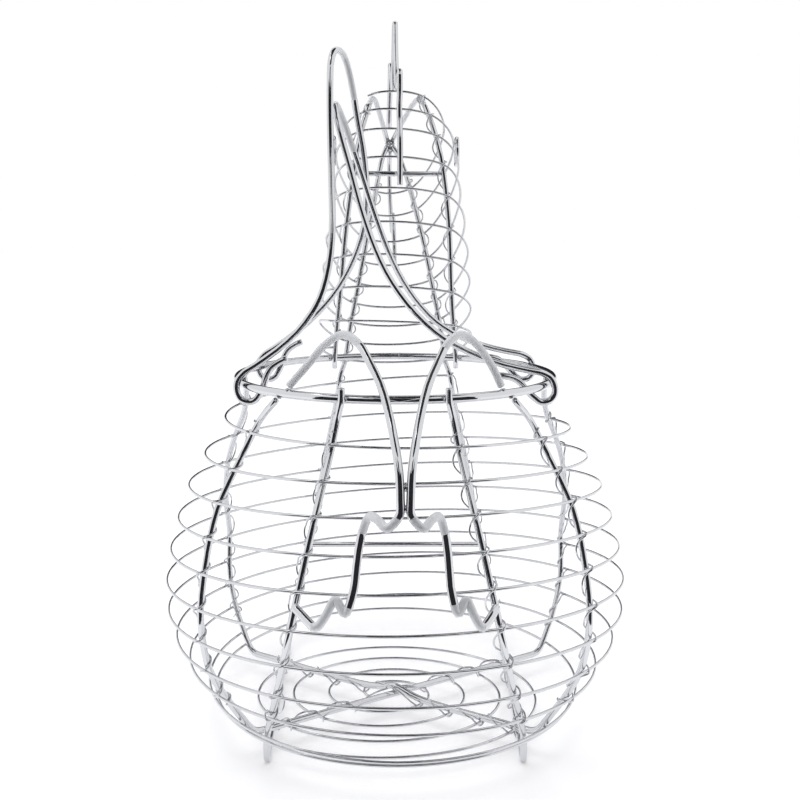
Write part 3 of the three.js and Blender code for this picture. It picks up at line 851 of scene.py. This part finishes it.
def seen_as_background(owner):
    """1 where the camera, a reflection or a clear thing shows it, 0 for its light on things."""
    rays = add_node(owner, "ShaderNodeLightPath")
    shown = rays.outputs["Is Camera Ray"]
    for kind in ("Is Glossy Ray", "Is Transmission Ray"):
        both = add_node(owner, "ShaderNodeMath", {0: shown, 1: rays.outputs[kind]}, operation="MAXIMUM")
        shown = both.outputs[0]
    return shown


# Bright mirror chrome: white where it reflects the room and nearly black where it reflects cloth
heavy_chrome = chrome_plate("bright_chrome_on_heavy_wire", "#D6D7DA", roughness=0.05, wave=0.25)
# The wound wire has the same bright chrome, which waves a little less on it
thin_chrome = chrome_plate("bright_chrome_on_wound_wire", "#D6D7DA", roughness=0.05, wave=0.2)
# The bead under the plating is rough, so welds look greyer and softer than the wires
weld_chrome = chrome_plate("chrome_over_welds", "#C4C5C9", roughness=0.22, wave=0.9)
# Painted reflection: chosen stretches get a paler, matt chrome, so they look pale like the white room's
# reflection whatever is round them
pale_reflection_chrome = chrome_plate("pale_matt_chrome_painted_as_reflection", "#F4F5F7", roughness=0.8, wave=0.25)

# Camera
view = bpy.data.cameras.new("camera")
view.lens = CAMERA_LENS
view.sensor_width = SENSOR_WIDTH
view.shift_x = SHIFT_RIGHT
view.shift_y = SHIFT_UP
camera = new_object("camera", view)
camera.location = tuple((vec(*CAMERA_PLACE) + CENTRE) * MM)
camera.rotation_euler = (math.pi / 2, 0, 0)
bpy.context.scene.camera = camera

# Heavy wires
rim_path = ring(vec(0, 0, RIM_HEIGHT), RIM_RADIUS, vec(1, 0, 0), vec(0, 1, 0), RIM_STEPS)
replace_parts(swept_wire("rim_wire", rim_path, RIM_WIRE, heavy_chrome, closed=True), "rim_ring")

heavy_paths = {"rim_ring": (rim_path, RIM_WIRE)}
ribs = {
    "right_long_rib": [twisted(p) for p in LONG_RIB.path()],
    "left_long_rib": [twisted(p) for p in mirrored(LONG_RIB.path())],
    "right_neck_rib": [twisted(p) for p in NECK_RIB.path()],
    "left_neck_rib": [twisted(p) for p in mirrored(NECK_RIB.path())],
    "lower_cross_rib": LOWER_CROSS_RIB.path(),
    "upper_cross_rib": UPPER_CROSS_RIB.path(),
}
for node, path in ribs.items():
    heavy_paths[node] = (np.array(path), RIB_WIRE)
    piece = swept_wire(node + "_wire", needed(heavy_paths[node][0]), RIB_WIRE, heavy_chrome)
    if node.endswith("_neck_rib"):
        paint_pale_reflection_stretches(piece, NECK_RIB_PALE_REFLECTION)
    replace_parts(piece, node)


def share_up_to(holds):
    """The share up to which a condition holds, found by halving."""
    low, high = 0.0, 1.0
    for _ in range(HALVINGS):
        middle = (low + high) / 2
        low, high = (middle, high) if holds(middle) else (low, middle)
    return low


def bar_between(name, centre, half_length, across):
    """A straight bar that joins a pair of ribs."""
    path = np.array([centre - across * half_length, centre, centre + across * half_length])
    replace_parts(swept_wire(name + "_wire", path, RIB_WIRE, heavy_chrome), name)
    heavy_paths[name] = (evenly(path, FINE_STEP), RIB_WIRE)


bar_share = share_up_to(lambda u: rib_outline(u)[1] > BREAST_BAR_HEIGHT)
bar_rib = span_point(bar_share, span_at(BREAST_SPANS, bar_share), 1)
bar_between(
    "breast_bar", vec(0, bar_rib[1] - BREAST_BAR_SETBACK, BREAST_BAR_HEIGHT),
    bar_rib[0] + BREAST_BAR_OVERHANG, vec(1, 0, 0),
)
last_row = len(NECK_ROWS) - 1
bar_row = share_up_to(lambda s: NECK_RIB.at(NAPE_PART[0] + s * last_row)[2] < HEAD_BAR_HEIGHT)
bar_back = NECK_RIB.at(NAPE_PART[0] + bar_row * last_row)
bar_centre = vec(0, bar_back[1] + RIB_WIRE + WELD_GAP, HEAD_BAR_HEIGHT)
head_turn = math.radians(HEAD_TURN) * smoothstep(HEAD_BAR_HEIGHT, HEAD_TURN_FROM, HEAD_TURN_TO)
bar_between(
    "head_bar", twisted(bar_centre), bar_back[0] + RIB_WIRE / 2,
    vec(math.cos(head_turn), math.sin(head_turn), 0),
)

# Comb, wattle and eyes
in_plane = {
    "comb": SmoothLine([twisted(vec(0, y, z)) for y, z in COMB]).path(),
    "wattle": SmoothLine([twisted(vec(0, y, z)) for y, z in WATTLE]).path(),
}
for node, diameter in (("comb", COMB_WIRE), ("wattle", WATTLE_WIRE)):
    heavy_paths[node] = (in_plane[node], diameter)
    piece = swept_wire(node + "_wire", needed(in_plane[node]), diameter, heavy_chrome)
    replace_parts(piece, node)

eye_share = share_up_to(lambda s: SIDE_LINE.at(s * last_row)[2] < EYE_HEIGHT)
eye_x = SIDE_LINE.at(eye_share * last_row)[0] + (WINDING_WIRE + EYE_WIRE) / 2 - EYE_SINK
for name, side in (("right_eye", 1), ("left_eye", -1)):
    centre = twisted(vec(side * eye_x, EYE_Y, EYE_HEIGHT))
    path = ring(centre, EYE_RADIUS, vec(0, 1, 0), vec(0, 0, 1), EYE_STEPS)
    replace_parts(swept_wire(name + "_wire", path, EYE_WIRE, heavy_chrome, closed=True), name)

# Tail and handles
for name, side in (("right_tail_wire", 1), ("left_tail_wire", -1)):
    heavy_paths[name] = (tail_wire(side), TAIL_WIRE)
    piece = swept_wire(name + "_bent", needed(heavy_paths[name][0]), TAIL_WIRE, heavy_chrome)
    paint_pale_reflection_stretches(piece, TAIL_PALE_REFLECTION)
    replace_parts(piece, name)
bails = {
    "left_handle": (-1, LEFT_BAIL_TWIST, LEFT_LEAN, "left_bail"),
    "right_handle": (1, RIGHT_BAIL_TWIST, RIGHT_LEAN, "right_bail"),
}
for name, (side, twist, lean, body) in bails.items():
    path = needed(handle(side, twist, lean))
    piece = swept_wire(name + "_wire", path, HANDLE_WIRE, heavy_chrome, body)
    paint_pale_reflection_stretches(piece, HANDLE_PALE_REFLECTION[name])
    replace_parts(piece, name)

# Windings
windings = {
    "body_winding": body_winding(),
    "base_spiral": base_spiral(),
    "neck_winding": neck_winding(),
}
for node, path in windings.items():
    piece = swept_wire(node + "_wire", path, WINDING_WIRE, thin_chrome, sides=THIN_SIDES)
    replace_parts(piece, node)
wound = np.concatenate([evenly(path, FINE_STEP) for path in windings.values()])


def crossings(path):
    """Where a rib meets the windings: number of its point and the direction to the winding."""
    near = np.array([np.linalg.norm(wound - p, axis=1).min() for p in path])
    found = []
    for i in range(CROSSING_MARGIN, len(path) - CROSSING_MARGIN):
        window = near[max(i - CROSSING_WINDOW, 0):i + CROSSING_WINDOW + 1]
        if near[i] <= window.min() and near[i] < RIB_SEAT + CROSSING_SLACK:
            nearest = wound[np.linalg.norm(wound - path[i], axis=1).argmin()]
            if not found or i - found[-1][0] > CROSSINGS_APART:
                found.append((i, unit(nearest - path[i])))
    return found


def point_along(path, along, distance):
    """Point at a distance along the path."""
    return np.array([np.interp(distance, along, path[:, k]) for k in range(3)])


def lacing_marks(path, along):
    """Distance and direction of each crossing, and of both ends of the lacing wire."""
    marks = [(along[i], out) for i, out in crossings(path)]
    if len(marks) > 1:
        marks.insert(0, (max(marks[0][0] - LACING_REACH, 0), marks[0][1]))
        marks.append((min(marks[-1][0] + LACING_REACH, along[-1]), marks[-1][1]))
    return marks


def lacing_path(path):
    """A thin wire that turns once round the rib between two crossings and over the winding."""
    along = lengths(path)
    marks = lacing_marks(path, along)
    if len(marks) < 2:
        return None
    close = (RIB_WIRE + LACING_WIRE) / 2 + LACING_CLEARANCE
    over = WINDING_WIRE + WELD_GAP
    points = []
    for number, ((start, out_a), (end, out_b)) in enumerate(zip(marks, marks[1:])):
        bulge = LACING_BULGE * min((end - start) / FULL_BULGE_LENGTH, 1)
        for share, degrees in LACING_TURN[:-1]:
            at = start + (end - start) * share
            centre = point_along(path, along, at)
            ahead = point_along(path, along, at + LACING_TANGENT_REACH)
            behind = point_along(path, along, at - LACING_TANGENT_REACH)
            tangent = unit(ahead - behind)
            out = out_a * (1 - share) + out_b * share
            out = unit(out - tangent * np.dot(out, tangent))
            side = np.cross(tangent, out)
            angle = math.radians(degrees)
            facing = max(math.cos(angle), 0) ** 2
            raised = over * facing if 0 < number else 0
            in_bulge = min(max((share - LACING_BULGE_FROM) / LACING_BULGE_RUN, 0), 1)
            radius = close + raised + bulge * math.sin(math.pi * in_bulge)
            points.append(centre + (out * math.cos(angle) + side * math.sin(angle)) * radius)
    return SmoothLine(points).path(step=LACING_STEP)


def part_of(line, part, flipped, downward=False):
    """A part of a rib's path, on the right or flipped to the left."""
    points = mirrored(line.path(*part)) if flipped else line.path(*part)
    path = np.array([twisted(p) for p in points])
    return path[::-1] if downward else path


cross_count = len(CROSS_RIB_STATIONS)
base_first = cross_count + len(CROSS_RIB_BEND) - 1
laced = {}
for name, flipped in (("right", False), ("left", True)):
    laced[name + "_rear_rib"] = part_of(LONG_RIB, REAR_PART, flipped)
    laced[name + "_base_run"] = part_of(LONG_RIB, BASE_PART, flipped)
    laced[name + "_breast_rib"] = part_of(LONG_RIB, BREAST_PART, flipped, downward=True)
    laced[name + "_throat_wire"] = part_of(LONG_RIB, THROAT_PART, flipped, downward=True)
    laced[name + "_nape_wire"] = part_of(NECK_RIB, NAPE_PART, flipped, downward=True)
for name, line in (("lower", LOWER_CROSS_RIB), ("upper", UPPER_CROSS_RIB)):
    laced[name + "_cross_rib_rear"] = line.path(0, cross_count)
    laced[name + "_cross_rib_base"] = line.path(base_first, line.spans - base_first)
    laced[name + "_cross_rib_front"] = line.path(line.spans - cross_count, line.spans)[::-1]
for name, path in laced.items():
    lacing = lacing_path(np.array(path))
    if lacing is not None:
        swept_wire("lacing_on_" + name, needed(lacing), LACING_WIRE, thin_chrome, sides=LACING_SIDES)

def weld_bead(name, place, axis, spread, half_thickness):
    """A bead, round about its axis, with a slightly uneven edge."""
    axis = unit(axis)
    across = unit(np.cross(axis, ODD_DIRECTION))
    other = np.cross(axis, across)
    broad, fine = WELD_UNEVENNESS
    points = []
    for i in range(BEAD_RINGS + 1):
        rise = math.pi * i / BEAD_RINGS
        for k in range(BEAD_SIDES):
            turn = 2 * math.pi * k / BEAD_SIDES
            uneven = 1 + broad * math.sin(2 * turn + len(name)) + fine * math.sin(5 * turn + i)
            out = spread * math.sin(rise) * uneven
            sideways = across * math.cos(turn) + other * math.sin(turn)
            point = place + sideways * out + axis * half_thickness * math.cos(rise)
            points.append(tuple((point + CENTRE) * MM))
    faces = []
    for i in range(BEAD_RINGS):
        for k in range(BEAD_SIDES):
            after = (k + 1) % BEAD_SIDES
            low, high = i * BEAD_SIDES, (i + 1) * BEAD_SIDES
            faces.append((low + k, high + k, high + after, low + after))
    mesh = smooth_mesh(name, points, faces, weld_chrome)
    mesh.uv_layers.new(name="wire")
    bead = new_object(name, mesh)
    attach(bead, "basket")


def weld_between(first, second):
    """A bead wherever two heavy wires come together, nearest first."""
    path_a, diameter_a = heavy_paths[first]
    path_b, diameter_b = heavy_paths[second]
    apart = np.linalg.norm(path_a[:, None] - path_b[None], axis=2)
    touching = (diameter_a + diameter_b) / 2 + WELD_REACH
    nearest = apart.min(1)
    made = []
    for i in np.argsort(nearest):
        if nearest[i] > touching:
            break
        if any(np.linalg.norm(path_a[i] - path_a[j]) < WELDS_APART for j in made):
            continue
        made.append(i)
        a, b = path_a[i], path_b[apart[i].argmin()]
        axis = unit(b - a)
        start, end = a + axis * diameter_a / 2, b - axis * diameter_b / 2
        thickness = np.linalg.norm(end - start) / 2 + WELD_SINK
        name = f"weld_{first}_{second}_{len(made)}"
        weld_bead(name, (start + end) / 2, axis, WELD_SPREAD, thickness)


# Welds
welded_pairs = [
    ("rim_ring", "right_long_rib"), ("rim_ring", "left_long_rib"), ("rim_ring", "right_neck_rib"),
    ("rim_ring", "left_neck_rib"), ("rim_ring", "lower_cross_rib"), ("rim_ring", "upper_cross_rib"),
    ("rim_ring", "right_tail_wire"), ("rim_ring", "left_tail_wire"),
    ("breast_bar", "right_long_rib"), ("breast_bar", "left_long_rib"),
    ("head_bar", "right_neck_rib"), ("head_bar", "left_neck_rib"),
    ("right_long_rib", "left_long_rib"), ("right_neck_rib", "left_neck_rib"),
    ("right_long_rib", "right_neck_rib"), ("left_long_rib", "left_neck_rib"),
    ("right_tail_wire", "left_tail_wire"), ("lower_cross_rib", "upper_cross_rib"),
    ("wattle", "right_long_rib"), ("wattle", "left_long_rib"),
]
for first, second in welded_pairs:
    weld_between(first, second)

# The rim's own ends meet in a butt weld on the side away from the tail
rim_joint = vec(RIM_WELD_X, RIM_RADIUS, RIM_HEIGHT)
weld_bead("weld_closing_the_rim", rim_joint, vec(1, 0, 0), RIM_WELD_SPREAD, RIM_WELD_HALF_LENGTH)

# White floor: matt paint under even light, as pale as the room in the camera's view
floor_mesh = bpy.data.meshes.new("floor")
floor_mesh.from_pydata(
    [(x * FLOOR_HALF, y * FLOOR_HALF, 0) for x, y in ((-1, -1), (1, -1), (1, 1), (-1, 1))],
    [], [(0, 1, 2, 3)],
)
floor = new_object("floor", floor_mesh)

floor_paint = new_material("white_painted_floor")
matt = add_node(floor_paint, "ShaderNodeBsdfDiffuse", {"Color": linear("#F2F2F4")})
glow = add_node(floor_paint, "ShaderNodeMath", {
    0: seen_as_background(floor_paint), 1: FLOOR_GLOW,
}, operation="MULTIPLY")
lift = add_node(floor_paint, "ShaderNodeEmission", {
    "Color": linear("#FFFFFF"), "Strength": glow.outputs[0],
})
both = add_node(floor_paint, "ShaderNodeAddShader", {
    0: matt.outputs["BSDF"], 1: lift.outputs["Emission"],
})
add_node(floor_paint, "ShaderNodeOutputMaterial", {"Surface": both.outputs["Shader"]})
floor_mesh.materials.append(floor_paint)

# White room
world = bpy.data.worlds.new("white_studio")
bpy.context.scene.world = world
world.use_nodes = True
world.node_tree.nodes.clear()
room_light = add_node(world, "ShaderNodeMapRange", {
    "Value": seen_as_background(world), "To Min": ROOM_LIGHT, "To Max": ROOM_BRIGHTNESS,
})
white = add_node(world, "ShaderNodeBackground", {
    "Color": linear("#FFFFFF"), "Strength": room_light.outputs["Result"],
})
add_node(world, "ShaderNodeOutputWorld", {"Surface": white.outputs["Background"]})


# One softbox overhead
light = bpy.data.lights.new("softbox_overhead", "AREA")
light.shape = "RECTANGLE"
light.size, light.size_y = SOFTBOX_SIZE
light.energy = SOFTBOX_POWER
softbox = new_object("softbox_overhead", light)
softbox.location = SOFTBOX_PLACE
aim = np.array(SOFTBOX_TARGET) - np.array(SOFTBOX_PLACE)
tilt = math.atan2(math.hypot(aim[0], aim[1]), -aim[2])
softbox.rotation_euler = (tilt, 0, math.atan2(aim[1], aim[0]) - math.pi / 2)


def hang_cloth(name, turn_from, turn_to, near_edge, far_edge):
    """A dark cloth that only the reflections in the chrome show."""
    points = []
    for i in range(CLOTH_STEPS + 1):
        angle = math.radians(turn_from + (turn_to - turn_from) * i / CLOTH_STEPS - 90)
        for reach, height in (near_edge, far_edge):
            points.append((reach * math.cos(angle), reach * math.sin(angle), height))
    faces = [(2 * i, 2 * i + 2, 2 * i + 3, 2 * i + 1) for i in range(CLOTH_STEPS)]
    mesh = bpy.data.meshes.new(name)
    mesh.from_pydata(points, [], faces)
    mesh.materials.append(dark_cloth)
    card = new_object(name, mesh)
    for kind in ("camera", "diffuse", "shadow", "transmission", "volume_scatter"):
        setattr(card, "visible_" + kind, False)


# Matt black felt gives the chrome its dark cores
dark_cloth = new_material("black_felt")
felt = add_node(dark_cloth, "ShaderNodeBsdfDiffuse", {"Color": linear("#2E2E31")})
add_node(dark_cloth, "ShaderNodeOutputMaterial", {"Surface": felt.outputs["BSDF"]})
for name, cloth in CLOTHS.items():
    hang_cloth(name, *cloth)

bpy.context.scene.view_settings.view_transform = "Standard"
